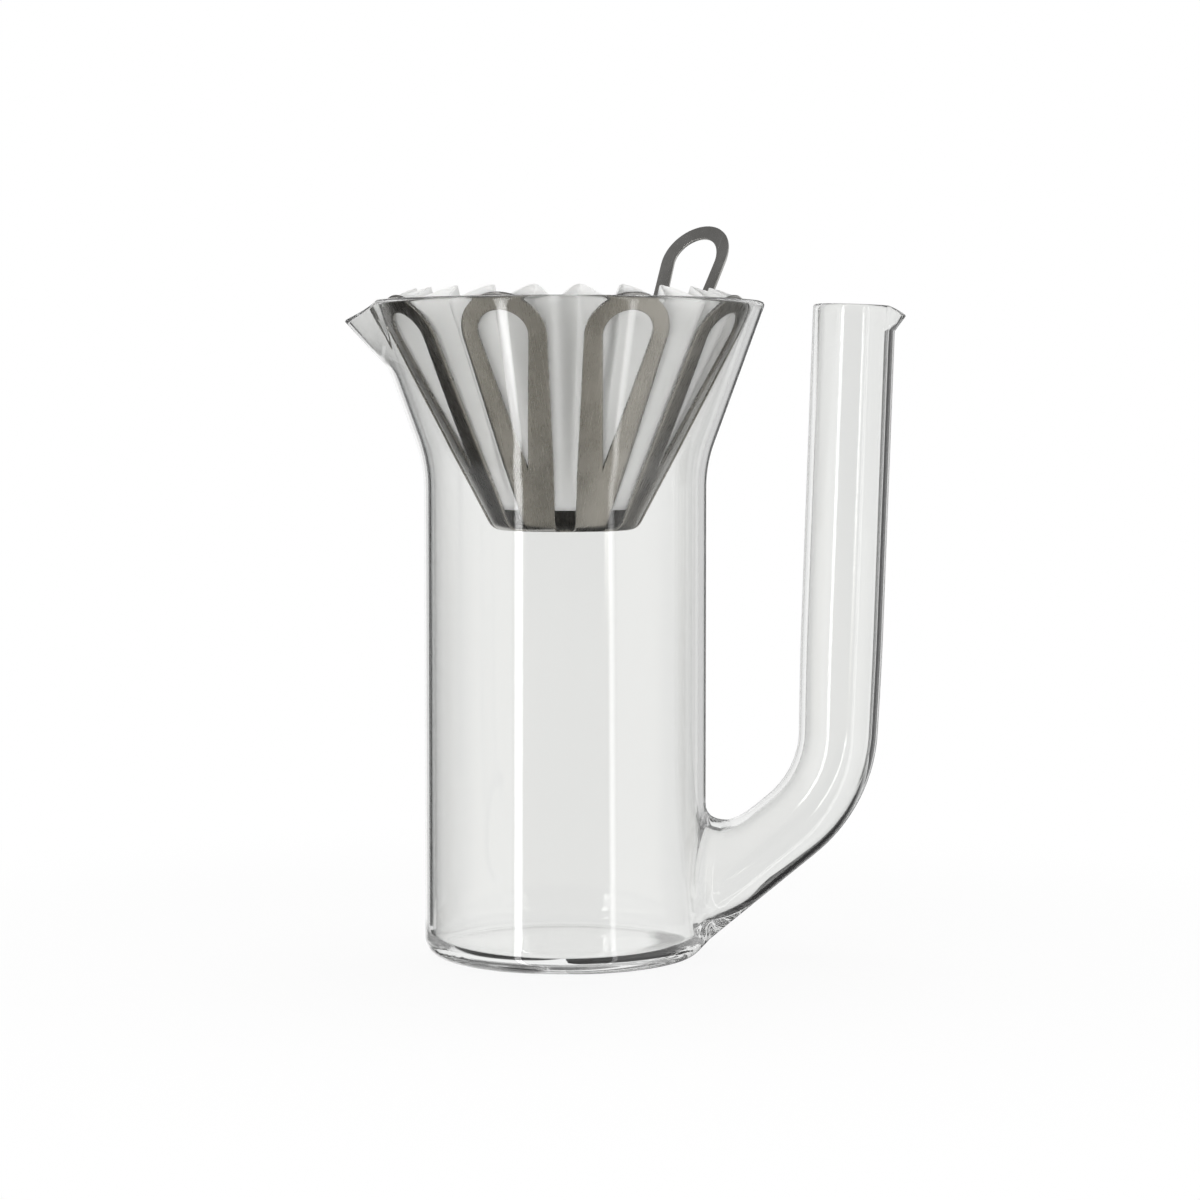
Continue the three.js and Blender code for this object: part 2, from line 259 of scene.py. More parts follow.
# Mesh steps
BODY_COLUMNS = 216
COLUMN_CROWDING = 0.4
WINDOW_COLUMNS = 13
WINDOW_HEIGHT = 62
WINDOW_ROWS = 24
FLOOR_ROWS = 10
CORNER_ROWS = 8
SIDE_ROWS = 12
FLARE_ROWS = 14
CONE_ROWS = 22
CREST_ROWS = 16
PATCH_ROWS = 8
FILLET_ROWS = 8
SLANT_ROWS = 14
TUBE_BEND_ROWS = 23
TUBE_TOP_ROWS = 23
LIP_ROWS = 11
LIP_EDGE_ROWS = 8
HALVINGS = 40
PETAL_COLUMNS = 6
FOLD_ROWS = 6
ROOT_ROWS = 8
LEG_ROWS = 20
LOOP_ROWS = 22
GAP_COLUMNS = 3
DISC_RINGS = (2, 15.4)
HOLE_COLUMNS = 2
HOLE_ROWS = 8
HOLE_START = 2
HOLE_EDGE_ROWS = 5
PLEAT_STEPS = 20
PAPER_ROWS = 36
PAPER_RINGS = 7
PAPER_NUDGE = 1e-4
MERGE_DISTANCE = 1e-6
SLIVER_DISTANCE = 1e-7


def points(x, y, z):
    """One array of points from three arrays that broadcast together."""
    return np.stack(np.broadcast_arrays(x, y, z), axis=-1).astype(float)


def mix(a, b, share):
    """A value that goes straight from a to b as share goes from 0 to 1."""
    return a + (b - a) * share


def smooth_step(value, low, high):
    """0 below low, 1 above high and an even S curve between them."""
    share = np.clip((value - low) / (high - low), 0, 1)
    return share * share * (3 - 2 * share)


def pinch(angle, spread):
    """1 at the tip of a pinched lip and 0 past its spread: a V whose point is rounded as a hyperbola."""
    away = np.minimum(np.abs(angle) / spread, 1)
    rounded = np.sqrt(away**2 + PINCH_ROUND**2) - PINCH_ROUND
    return 1 - rounded / (np.sqrt(1 + PINCH_ROUND**2) - PINCH_ROUND)


def arc(centre, radius, start, end, steps):
    """Points of a circular arc as (radius, height) pairs, both ends included."""
    angle = np.linspace(start, end, steps + 1)
    return np.stack((centre[0] + radius * np.cos(angle), centre[1] + radius * np.sin(angle)), axis=-1)


def straight(start, end, steps):
    """Even points of a line as (radius, height) pairs, both ends included."""
    return mix(np.array(start, float), np.array(end, float), np.linspace(0, 1, steps + 1)[:, None])


def grid_quads(rows, columns, closed, keep=None):
    """Corner numbers of the quads of a grid whose columns may close on themselves; keep masks them."""
    across = np.arange(columns if closed else columns - 1)
    i, j = np.meshgrid(np.arange(rows - 1), across, indexing="ij")
    low = i * columns
    high = low + columns
    after = (j + 1) % columns
    quads = np.stack((low + j, low + after, high + after, high + j), -1)
    return quads[keep] if keep is not None else quads.reshape(-1, 4)


def make_piece(name, grids, material, body, replaced, uv=None):
    """A mesh object from (points, quads) grids in millimetres, its touching points merged, on a CAD body."""
    vertices = np.concatenate([p.reshape(-1, 3) for p, _ in grids]) * MM
    starts = np.cumsum([0] + [p.size // 3 for p, _ in grids])
    faces = np.concatenate([q + start for (_, q), start in zip(grids, starts)])
    mesh = bpy.data.meshes.new(name)
    mesh.from_pydata(vertices, [], faces)
    if uv is not None:
        layer = mesh.uv_layers.new(name="UVMap")
        flat = np.concatenate(uv)[faces.ravel()] * MM
        layer.data.foreach_set("uv", flat.astype(np.float32).ravel())
    edit = bmesh.new()
    edit.from_mesh(mesh)
    bmesh.ops.remove_doubles(edit, verts=edit.verts, dist=MERGE_DISTANCE)
    bmesh.ops.dissolve_degenerate(edit, edges=edit.edges, dist=SLIVER_DISTANCE)
    edit.to_mesh(mesh)
    edit.free()
    mesh.polygons.foreach_set("use_smooth", np.ones(len(mesh.polygons), bool))
    mesh.materials.append(material)
    piece = bpy.data.objects.new(name, mesh)
    bpy.context.scene.collection.objects.link(piece)
    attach(piece, body)
    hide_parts(*replaced)
    return piece


# Glass


class Wall:
    """A face of the glass body near its foot: a flat floor, a rounded corner and a straight cylinder.

    A place on it is (turn, climb, lift): the angle round the axis, the length along the profile from the
    axis, and the distance off the face.
    """

    def __init__(self, radius, corner, floor):
        self.corner = corner
        self.flat = radius - corner
        self.bend = corner * np.pi / 2
        self.middle = floor + corner

    def point(self, turn, climb, lift):
        """Place to point: along the floor, then round the corner's arc, then up the cylinder."""
        bend = np.clip((climb - self.flat) / self.corner, 0, np.pi / 2)
        radius = np.minimum(climb, self.flat) + (self.corner + lift) * np.sin(bend)
        above = np.maximum(climb - self.flat - self.bend, 0)
        height = self.middle - (self.corner + lift) * np.cos(bend) + above
        return points(radius * np.cos(turn), radius * np.sin(turn), height)

    def place(self, point):
        """Point to place, the inverse of point()."""
        x, y, z = np.moveaxis(point, -1, 0)
        radius = np.hypot(x, y)
        out = np.maximum(radius - self.flat, 0)
        down = np.maximum(self.middle - z, 0)
        bend = np.arctan2(out, down)
        climb = np.minimum(radius, self.flat) + self.corner * bend + np.maximum(z - self.middle, 0)
        return np.arctan2(y, x), climb, np.hypot(out, down) - self.corner


OUTER_WALL = Wall(BODY_RADIUS, BASE_CORNER, 0)
INNER_WALL = Wall(BODY_RADIUS - BODY_WALL, INNER_CORNER, BASE_THICKNESS)


def tube_line():
    """Centre of the handle's bend in the XZ plane, and the lengths at which slant, bend and top end."""
    slant_way = np.array((np.cos(TUBE_SLANT), np.sin(TUBE_SLANT)))
    top_way = np.array((np.sin(TUBE_LEAN), np.cos(TUBE_LEAN)))
    weld = np.array((BODY_RADIUS, WELD_HEIGHT))
    top = np.array((TUBE_REACH, TUBE_HEIGHT))
    across = top - weld
    slant = (across[0] * top_way[1] - across[1] * top_way[0]) / (
        slant_way[0] * top_way[1] - slant_way[1] * top_way[0]
    )
    turn = np.pi / 2 - TUBE_LEAN - TUBE_SLANT
    start = weld - slant_way * TUBE_RADIUS
    slant_end = TUBE_RADIUS + slant - TUBE_BEND * np.tan(turn / 2)
    bend_end = slant_end + TUBE_BEND * turn
    bend_start = start + slant_way * slant_end
    centre = bend_start + TUBE_BEND * np.array((-slant_way[1], slant_way[0]))
    bend_last = centre + TUBE_BEND * np.array((top_way[1], -top_way[0]))
    tube_end = bend_end + np.hypot(*(top - bend_last))
    return centre, slant_end, bend_end, tube_end


BEND_CENTRE, SLANT_END, BEND_END, TUBE_END = tube_line()


def tube_middle(along):
    """Middle point and direction of the handle at a length along it, as x, z, way_x, way_z."""
    turned = TUBE_SLANT + np.clip(along - SLANT_END, 0, BEND_END - SLANT_END) / TUBE_BEND
    way_x, way_z = np.cos(turned), np.sin(turned)
    before = np.minimum(along - SLANT_END, 0)
    after = np.maximum(along - BEND_END, 0)
    x = BEND_CENTRE[0] + TUBE_BEND * way_z + (before + after) * way_x
    z = BEND_CENTRE[1] - TUBE_BEND * way_x + (before + after) * way_z
    return x, z, way_x, way_z


def tube_point(along, around, radius):
    """A point at a radius round the handle's middle line.

    The bend is squeezed flat, the upper side flares with the cube of the nearness to the body, the bore's
    lower side lifts towards the port with its square, and the top is pulled out and down into a lip.
    """
    x, z, way_x, way_z = tube_middle(along)
    side = np.cos(around)
    across = radius * np.sin(around)
    squeeze = 1 - smooth_step(along, SLANT_END, 2 * BEND_END - SLANT_END)
    half = radius * (1 - squeeze * BEND_SQUEEZE / TUBE_RADIUS)
    from_wall = np.maximum(np.hypot(x + half * side * way_z, across) - BODY_RADIUS, 0)
    near = np.maximum(1 - from_wall / WELD_LENGTH, 0)
    flare = WELD_FLARE * near**3 * np.maximum(-side, 0) * radius / TUBE_RADIUS
    inside = (TUBE_RADIUS - radius) / TUBE_WALL
    lift = PORT_LIFT * near**2 * np.maximum(side, 0) * inside
    share = np.maximum((along - TUBE_END + LIP_DEPTH) / LIP_DEPTH, 0)
    turned = (around + np.pi) % (2 * np.pi) - np.pi
    pull = share * pinch(turned, LIP_SPREAD)
    out = half * side - flare - lift + LIP_PULL * pull
    dip = LIP_DIP * pull
    return points(x + out * way_z - dip * way_x, across, z - out * way_x - dip * way_z)


def crossing(wall, around, radius):
    """Length along the handle at which each of its lines meets a wall, halved down from both sides."""
    low = np.zeros_like(around)
    high = np.full_like(around, SLANT_END)
    for _ in range(HALVINGS):
        middle = (low + high) / 2
        inside = wall.place(tube_point(middle, around, radius))[2] < 0
        low = np.where(inside, middle, low)
        high = np.where(inside, high, middle)
    return high


def joint_rows(wall, frame_places, around, radius, fillet):
    """Rows of points from a window's frame over the wall to a fillet and the handle, and where these end.

    The wall patch goes straight from frame to fillet in (turn, climb). The fillet is a quadratic Bezier
    curve in (turn, climb, lift) from its foot on the wall, by the sharp corner, to a place on the handle.
    Its sizes are for the handle's lower side, its flanks and its upper side.
    """
    low, side, high = fillet
    size = mix(mix(low, high, (1 - np.cos(around)) / 2), side, np.sin(around) ** 2)
    start = crossing(wall, around, radius)
    corner = np.stack(wall.place(tube_point(start, around, radius)))
    corner[2] = 0
    end = start + size
    far = np.stack(wall.place(tube_point(end, around, radius)))
    wide = wall.flat + wall.corner
    along = np.roll(corner, -1, axis=1) - np.roll(corner, 1, axis=1)
    away = np.stack((along[1], -along[0] * wide))
    away /= np.hypot(*away)
    foot = corner + np.stack((away[0] / wide, away[1], np.zeros_like(size))) * size
    share = np.linspace(0, 1, PATCH_ROWS + 1)[:-1, None, None]
    patch = mix(frame_places, foot, share)
    t = np.linspace(0, 1, FILLET_ROWS + 1)[:, None, None]
    bead = (1 - t) ** 2 * foot + 2 * t * (1 - t) * corner + t**2 * far
    rows = np.concatenate((patch, bead))
    return wall.point(rows[:, 0], rows[:, 1], rows[:, 2]), end


def window_frame(turns, climbs):
    """Places round a window's frame, from the middle of its lower side, counter-clockwise seen from +X."""
    middle = len(turns) // 2
    lower = np.full(middle, climbs[0])
    upper = np.full(2 * middle, climbs[-1])
    turn = np.concatenate((
        turns[middle:-1],
        np.full(len(climbs) - 1, turns[-1]),
        turns[:0:-1],
        np.full(len(climbs) - 1, turns[0]),
        turns[:middle],
    ))
    climb = np.concatenate((lower, climbs[:-1], upper, climbs[:0:-1], lower))
    return np.stack((turn, climb, np.zeros_like(turn)))


def handle_sleeve(turns, outer_climbs, inner_climbs):
    """The handle as one closed sleeve.

    It runs from the outer wall's window up the outside, over the lip, down the bore and into the inner
    wall's window.
    """
    outer_frame = window_frame(turns, outer_climbs)
    inner_frame = window_frame(turns, inner_climbs)
    around = np.linspace(0, 2 * np.pi, outer_frame.shape[1], endpoint=False)
    bore = TUBE_RADIUS - TUBE_WALL
    edge = TUBE_WALL / 2
    outside, outer_end = joint_rows(OUTER_WALL, outer_frame, around, TUBE_RADIUS, WELD_FILLET)
    inside, inner_end = joint_rows(INNER_WALL, inner_frame, around, bore, PORT_FILLET)
    stations = np.concatenate((
        np.linspace(SLANT_END, BEND_END, TUBE_BEND_ROWS + 1)[:-1],
        np.linspace(BEND_END, TUBE_END - LIP_DEPTH, TUBE_TOP_ROWS + 1)[:-1],
        np.linspace(TUBE_END - LIP_DEPTH, TUBE_END - edge, LIP_ROWS + 1),
    ))[:, None]
    share = np.linspace(0, 1, SLANT_ROWS + 1)[1:-1, None]
    turn = np.linspace(0, np.pi, LIP_EDGE_ROWS + 1)[1:-1, None]
    lip_along = TUBE_END - edge + edge * np.sin(turn)
    lip = tube_point(lip_along, around, TUBE_RADIUS - edge + edge * np.cos(turn))
    rows = np.concatenate((
        outside,
        tube_point(mix(outer_end, SLANT_END, share), around, TUBE_RADIUS),
        tube_point(stations, around, TUBE_RADIUS),
        lip,
        tube_point(stations[::-1], around, bore),
        tube_point(mix(inner_end, SLANT_END, share)[::-1], around, bore),
        inside[::-1],
    ))
    return rows, grid_quads(len(rows), rows.shape[1], closed=True)


def body_profile():
    """Profile of the glass wall as (radius, height) rows, and the first and last row of each window.

    It runs from the middle of the underside round the corner, up the cylinder, the flare's arc and cone,
    over the rounded rim, and back down the inside to the middle of the floor.
    """
    flare = FLARE_ANGLE
    round_edge = BODY_WALL / 2
    rim = (RIM_RADIUS - round_edge * np.cos(flare), RIM_HEIGHT - round_edge)
    top = rim[1] - round_edge * np.sin(flare)
    cone = (RIM_RADIUS - BODY_RADIUS - FLARE_BLEND * (1 - np.cos(flare))) / np.tan(flare)
    start = top - cone - FLARE_BLEND * np.sin(flare)
    centre = (BODY_RADIUS + FLARE_BLEND, start)
    inner_radius = BODY_RADIUS - BODY_WALL

    def foot(wall, radius, floor):
        low = straight((0, floor), (wall.flat, floor), FLOOR_ROWS)
        corner = arc((wall.flat, wall.middle), wall.corner, -np.pi / 2, 0, CORNER_ROWS)
        side = straight((radius, wall.middle), (radius, WINDOW_HEIGHT), WINDOW_ROWS)
        upper = straight((radius, WINDOW_HEIGHT), (radius, start), SIDE_ROWS)
        return np.concatenate((low[:-1], corner[:-1], side[:-1], upper[:-1]))

    def side(margin):
        bend = arc(centre, FLARE_BLEND + margin, np.pi, np.pi - flare, FLARE_ROWS)
        end = np.array(rim) + (round_edge - margin) * np.array((np.cos(flare), -np.sin(flare)))
        return np.concatenate((bend[:-1], straight(bend[-1], end, CONE_ROWS)))

    outer = np.concatenate((foot(OUTER_WALL, BODY_RADIUS, 0), side(0)))
    inner = np.concatenate((foot(INNER_WALL, inner_radius, BASE_THICKNESS), side(BODY_WALL)))
    crest = arc(rim, round_edge, -flare, np.pi - flare, CREST_ROWS)
    rows = np.concatenate((outer, crest[1:-1], inner[::-1]))
    first = FLOOR_ROWS
    last = first + CORNER_ROWS + WINDOW_ROWS
    return rows, (first, last), (len(rows) - 1 - last, len(rows) - 1 - first)


def pull_spout(radius, height, turn):
    """Pulls the wall out and down into the pouring lip at -X, from nothing at its root to full at the rim."""
    root = RIM_HEIGHT - SPOUT_DEPTH
    angle = np.abs(turn) - np.pi
    tip = pinch(angle, SPOUT_SPREAD)
    pull = np.maximum((height - root) / SPOUT_DEPTH, 0) * tip
    return radius + SPOUT_PULL * pull * tip, height - SPOUT_DIP * pull


def glass_grids():
    """The body's turned wall with a window in each face, and the handle's sleeve that joins the windows."""
    rows, outer, inner = body_profile()
    even = np.arange(BODY_COLUMNS) * 2 * np.pi / BODY_COLUMNS
    even = (even + np.pi) % (2 * np.pi) - np.pi
    turn = even + COLUMN_CROWDING * np.sin(even)
    radius, height = pull_spout(rows[:, :1], rows[:, 1:], turn)
    wall = points(radius * np.cos(turn), radius * np.sin(turn), height)
    keep = np.ones((len(rows) - 1, BODY_COLUMNS), bool)
    columns = np.arange(-WINDOW_COLUMNS, WINDOW_COLUMNS)
    for first, last in (outer, inner):
        keep[first:last, columns] = False
    quads = grid_quads(len(rows), BODY_COLUMNS, closed=True, keep=keep)
    turns = turn[np.arange(-WINDOW_COLUMNS, WINDOW_COLUMNS + 1)]

    def climbs(wall):
        corner = np.linspace(wall.flat, wall.flat + wall.bend, CORNER_ROWS + 1)
        top = corner[-1] + WINDOW_HEIGHT - wall.middle
        return np.concatenate((corner[:-1], np.linspace(corner[-1], top, WINDOW_ROWS + 1)))

    return [(wall, quads), handle_sleeve(turns, climbs(OUTER_WALL), climbs(INNER_WALL))]


# Steel dripper


def tangent_angle(point, middle, radius):
    """Angle round a circle at which a line from a point outside it touches it on the right."""
    away = np.subtract(point, middle)
    return np.arctan2(away[1], away[0]) + np.arccos(radius / np.hypot(*away))


def half_petal(length, band):
    """Right half of a petal laid flat, as (across, up) points.

    Rows go from the root to the crest, columns from the middle line or the slit's edge out to the petal's
    edge.
    """
    middle = (0, length - LOOP_RADIUS)
    root = (PETAL_ROOT / 2, 0)
    slit_radius = LOOP_RADIUS - band
    edge_angle = tangent_angle(root, middle, LOOP_RADIUS)
    slit_angle = tangent_angle((0, SLIT_START), middle, slit_radius)
    edge_arc = arc(middle, LOOP_RADIUS, edge_angle, np.pi / 2, LOOP_ROWS)
    slit_arc = arc(middle, slit_radius, slit_angle, np.pi / 2, LOOP_ROWS)
    fork = mix(np.array(root), edge_arc[0], SLIT_START / edge_arc[0][1])

    def border(start, branch, loop):
        root_part = straight(start, branch, ROOT_ROWS)
        leg = straight(branch, loop[0], LEG_ROWS)
        return np.concatenate((root_part[:-1], leg[:-1], loop))[:, None]

    inner = border((0, 0), (0, SLIT_START), slit_arc)
    outer = border(root, fork, edge_arc)
    return mix(inner, outer, np.linspace(0, 1, PETAL_COLUMNS + 1)[None, :, None])


def on_cone(across, up):
    """Rolls a flat petal along +X onto the dripper's outer cone, straight along the petal's own normal.

    A point moves by t along the normal until its distance from the axis is the cone's radius at its height,
    which is a quadratic equation in t.
    """
    c, s = np.cos(PETAL_LEAN), np.sin(PETAL_LEAN)
    reach = FOLD_RADIUS + up * s
    double = np.cos(2 * PETAL_LEAN)
    t = c * (np.sqrt(reach**2 - across**2 * double) - reach) / double
    return points(reach + t * c, across, up * c - t * s)


def dripper_petal(length, band):
    """Bend and petal along +X: arcs from the base up to the cone, then the petal on it; and both unrolled."""
    flat = half_petal(length, band)
    share = np.linspace(0, 1, PETAL_COLUMNS + 1)
    angle = np.linspace(-np.pi / 2, -PETAL_LEAN, FOLD_ROWS + 1)[:-1, None]
    radius = BEND_START + BEND_OUTSIDE * np.cos(angle)
    across = PETAL_ROOT / 2 * share
    bend = points(np.sqrt(radius**2 - across**2), across, BEND_OUTSIDE + BEND_OUTSIDE * np.sin(angle))
    top = BEND_OUTSIDE - BEND_OUTSIDE * np.sin(PETAL_LEAN)
    first = top / np.cos(PETAL_LEAN)
    up = flat[..., 1]
    rise = np.where(up < SLIT_START, mix(first, SLIT_START, up / SLIT_START), up)
    petal = np.concatenate((bend, on_cone(flat[..., 0], rise)))
    unrolled = np.concatenate((
        np.stack(np.broadcast_arrays(across, -BEND_OUTSIDE * (-PETAL_LEAN - angle)), -1),
        np.stack((flat[..., 0], rise), -1),
    ))
    return petal, unrolled


def turn_about_axis(point, angle):
    """Points turned about Z by an angle."""
    c, s = np.cos(angle), np.sin(angle)
    x, y, z = np.moveaxis(point, -1, 0)
    return points(x * c - y * s, x * s + y * c, z)


def dripper_base():
    """Base disc as a polar grid whose columns meet the petals' columns, with drain holes in its windows."""
    tongue = np.arcsin(PETAL_ROOT / 2 * np.linspace(-1, 1, 2 * PETAL_COLUMNS + 1) / BEND_START)
    apart = 2 * np.pi / PETALS
    gap = np.linspace(tongue[-1], apart + tongue[0], GAP_COLUMNS + 1)[1:-1]
    step = np.concatenate((tongue, gap))
    turn = (np.arange(PETALS)[:, None] * 2 * np.pi / PETALS + step).ravel() + TAB_DIRECTION
    room = np.linspace(*HOLE_ROOM, HOLE_ROWS + 1)
    radius = np.concatenate(([0, DISC_RINGS[0]], room, [DISC_RINGS[1], BEND_START]))[:, None]
    disc = points(radius * np.cos(turn), radius * np.sin(turn), 0)
    keep = np.ones((len(radius) - 1, len(turn)), bool)
    grids = []
    flats = []
    per_petal = len(step)
    for hole in range(DRAIN_HOLES):
        aim = (hole + 0.5) * PETALS / DRAIN_HOLES
        first = int(np.floor(aim)) * per_petal + PETAL_COLUMNS - HOLE_COLUMNS
        count = per_petal + 2 * HOLE_COLUMNS
        columns = (first + np.arange(count + 1)) % len(turn)
        end = HOLE_START + HOLE_ROWS
        keep[HOLE_START:end, columns[:-1]] = False
        inside = disc[HOLE_START:end + 1][:, columns]
        sides = (inside[0, :-1], inside[:-1, -1], inside[-1, :0:-1], inside[:0:-1, 0])
        frame_loop = np.concatenate(sides)
        centre_turn = TAB_DIRECTION + aim * 2 * np.pi / PETALS
        centre = DRAIN_CIRCLE * np.array((np.cos(centre_turn), np.sin(centre_turn), 0))
        way = np.arctan2(*(frame_loop - centre).T[1::-1])
        rim = centre + DRAIN_RADIUS * points(np.cos(way), np.sin(way), 0)
        rows = mix(frame_loop, rim, np.linspace(0, 1, HOLE_EDGE_ROWS + 1)[:, None, None])
        grids.append((rows, grid_quads(len(rows), rows.shape[1], closed=True)))
        flats.append(rows[..., :2].reshape(-1, 2))
    quads = grid_quads(len(radius), len(turn), closed=True, keep=keep)
    return [(disc, quads), *grids], [disc[..., :2].reshape(-1, 2), *flats]


def dripper_grids(height):
    """Underside of the folded sheet: the base disc and the petals round it, the first the longer tab."""
    grids, flats = dripper_base()
    for index in range(PETALS):
        length, band = (TAB_LENGTH, TAB_BAND) if index == 0 else (PETAL_LENGTH, LOOP_BAND)
        petal, flat = dripper_petal(length, band)
        quads = grid_quads(*petal.shape[:2], closed=False)
        turn = TAB_DIRECTION + index * 2 * np.pi / PETALS
        for side in (1, -1):
            half = turn_about_axis(petal * (1, side, 1), turn)
            grids.append((half, quads[:, ::side]))
            flats.append((flat * (side, 1)).reshape(-1, 2))
    return [(p + (0, 0, height), q) for p, q in grids], flats


# Paper filter


def pleat_wave(angle):
    """0 on an outer fold and 1 on an inner fold, between a sine wave and a straight zigzag."""
    swing = np.cos(PLEATS * (angle - FILTER_TURN))
    zigzag = np.arccos(np.clip(swing, -1, 1)) / np.pi
    return mix(0.5 - 0.5 * swing, zigzag, PLEAT_SHARPNESS)


def paper_middle(angle, share):
    """Middle of the paper wall: each line of it leans straight out from the base fold to the pleated top."""
    top = FILTER_RADIUS + FILTER_SLANT * np.sin(PETAL_LEAN) - PLEAT_DEPTH * pleat_wave(angle)
    height = np.sqrt(FILTER_SLANT**2 - (top - FILTER_RADIUS) ** 2)
    radius = mix(FILTER_RADIUS, top, share)
    return points(radius * np.cos(angle), radius * np.sin(angle), share * height)


def filter_grids(height):
    """Both faces of the paper as one grid: out over the underside, up, over the top, down and back in."""
    angle = np.linspace(0, 2 * np.pi, PLEATS * PLEAT_STEPS, endpoint=False)
    share = np.linspace(0, 1, PAPER_ROWS)[:, None]
    middle = paper_middle(angle, share)
    along = paper_middle(angle + PAPER_NUDGE, share) - paper_middle(angle - PAPER_NUDGE, share)
    away = points(along[..., 1], -along[..., 0], 0)
    away *= PAPER / 2 / np.linalg.norm(away, axis=-1, keepdims=True)
    inward = np.linspace(0, 1, PAPER_RINGS + 1)[:-1, None]
    ring = points(FILTER_RADIUS * np.cos(angle), FILTER_RADIUS * np.sin(angle), 0)
    drop = np.array((0, 0, PAPER / 2))
    under = inward[..., None] * ring - drop
    over = inward[::-1][..., None] * ring + drop
    rows = np.concatenate((under, middle + away, (middle - away)[::-1], over))
    return [(rows + (0, 0, height), grid_quads(len(rows), len(angle), closed=True))]


# Materials


class Value:
    """A socket that can be used in arithmetic: each operation adds a Math node to the tree."""

    def __init__(self, tree, socket):
        self.tree = tree
        self.socket = socket

    def math(self, operation, *values):
        settings = {"operation": operation}
        return self.tree.node("ShaderNodeMath", settings, dict(enumerate(values)))

    def __add__(self, other):
        return self.math("ADD", self, other)

    __radd__ = __add__

    def __sub__(self, other):
        return self.math("SUBTRACT", self, other)

    def __rsub__(self, other):
        return self.math("SUBTRACT", other, self)

    def __mul__(self, other):
        return self.math("MULTIPLY", self, other)

    __rmul__ = __mul__

    def __abs__(self):
        return self.math("ABSOLUTE", self)

    def above(self, limit):
        """1 where it is above a limit and 0 elsewhere."""
        return self.math("GREATER_THAN", self, limit)

    def ramp(self, low, high):
        """0 at low and 1 at high with an S curve between; low may be above high."""
        settings = {"interpolation_type": "SMOOTHSTEP"}
        values = {"Value": self, "From Min": low, "From Max": high}
        return self.tree.node("ShaderNodeMapRange", settings, values)


class Tree:
    """A node tree of a material or of the world, emptied."""

    def __init__(self, owner):
        owner.use_nodes = True
        self.tree = owner.node_tree
        self.tree.nodes.clear()

    def node(self, kind, settings=None, values=None, output=0):
        """A node of a kind, with its settings made first and then its sockets filled with values or links."""
        made = self.tree.nodes.new(kind)
        for name, value in (settings or {}).items():
            setattr(made, name, value)
        for key, value in (values or {}).items():
            if isinstance(value, Value):
                self.tree.links.new(value.socket, made.inputs[key])
            else:
                made.inputs[key].default_value = value
        return Value(self, made.outputs[output]) if made.outputs else None

    def parts(self, kind, values):
        """All outputs of a node of a kind."""
        made = self.node(kind, {}, values).socket.node
        return [Value(self, output) for output in made.outputs]

    def blend(self, share, first, second):
        """A colour between two colours."""
        settings = {"data_type": "RGBA"}
        return self.node("ShaderNodeMix", settings, {0: share, 6: first, 7: second}, output=2)

    def tint(self, share, colour, tint):
        """A colour multiplied by a share of a tint."""
        settings = {"data_type": "RGBA", "blend_type": "MULTIPLY"}
        return self.node("ShaderNodeMix", settings, {0: share, 6: colour, 7: tint}, output=2)

    def coordinates(self, output, scale):
        """Coordinates of the piece, stretched by a scale for each axis."""
        place = self.node("ShaderNodeTexCoord", output=output)
        return self.node("ShaderNodeMapping", {}, {"Vector": place, "Scale": scale})

    def noise(self, vector, detail=3.0, roughness=0.5):
        """Soft noise between 0 and 1."""
        values = {"Vector": vector, "Scale": 1.0, "Detail": detail, "Roughness": roughness}
        return self.node("ShaderNodeTexNoise", {}, values)

    def bump(self, height, strength, distance):
        """A normal tilted by a height."""
        values = {"Height": height, "Strength": strength, "Distance": distance}
        return self.node("ShaderNodeBump", {}, values)


def material_of(name, surface):
    """A material with the shader that surface(tree) makes."""
    material = bpy.data.materials.new(name)
    tree = Tree(material)
    tree.node("ShaderNodeOutputMaterial", {}, {"Surface": surface(tree)})
    return material


def clear_glass(tree):
    """Clear borosilicate: faint draw lines along the tube, waves round the weld and a trace of grey."""
    lines = tree.noise(tree.coordinates("Object", DRAW_LINES), detail=2.0)
    cloud = tree.noise(tree.coordinates("Object", GLASS_CLOUD))
    blobs = tree.noise(tree.coordinates("Object", WELD_BLOBS), detail=1.0)
    place = tree.node("ShaderNodeTexCoord", output="Object")
    apart = {"operation": "DISTANCE"}
    away = tree.node("ShaderNodeVectorMath", apart, {0: place, 1: WELD_PLACE * MM}, output="Value")
    waves = lines * DRAW_DEPTH + blobs * away.ramp(*WELD_REACH) * WELD_DEPTH
    return tree.node("ShaderNodeBsdfPrincipled", {}, {
        "Base Color": tree.blend(cloud, *GLASS_TINTS),
        "Roughness": cloud * GLASS_HAZE,
        "IOR": GLASS_IOR,
        "Transmission Weight": 1.0,
        "Normal": tree.bump(waves, 1.0, WAVE_HEIGHT),
    })


